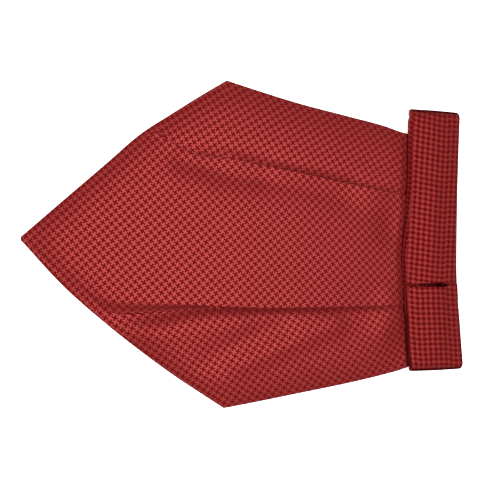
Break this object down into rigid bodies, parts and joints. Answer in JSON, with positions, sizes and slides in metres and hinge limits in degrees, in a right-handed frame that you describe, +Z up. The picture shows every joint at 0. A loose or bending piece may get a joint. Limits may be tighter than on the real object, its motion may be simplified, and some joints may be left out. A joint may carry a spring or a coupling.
{
  "type": "pleated silk cravat, laid flat",
  "caption": "Ready-made dress cravat lying flat: a pointed, bias-cut silk blade with pleats, sewn to a narrow neckband that is folded up on the blade's end.",
  "frame": {"origin": "on the surface it lies on, under the middle of the cravat's box", "axes": "+X along the cravat from the blade's tip to the neckband, +Y across it, +Z up from the surface it lies on"},
  "size_m": [0.2259, 0.1597, 0.0079],
  "materials": {
    "blade_silk": "woven silk, small red and dark red check, soft sheen",
    "band_silk": "woven silk, small red and dark red check, soft sheen",
    "tucked_silk": "woven silk, folded layers, matt in the folds"
  },
  "bodies": {
    "root": {"blade": "blade_silk", "neckband_upper": "band_silk", "neckband_lower": "band_silk", "neckband_folds": "tucked_silk"}
  },
  "joints": []
}
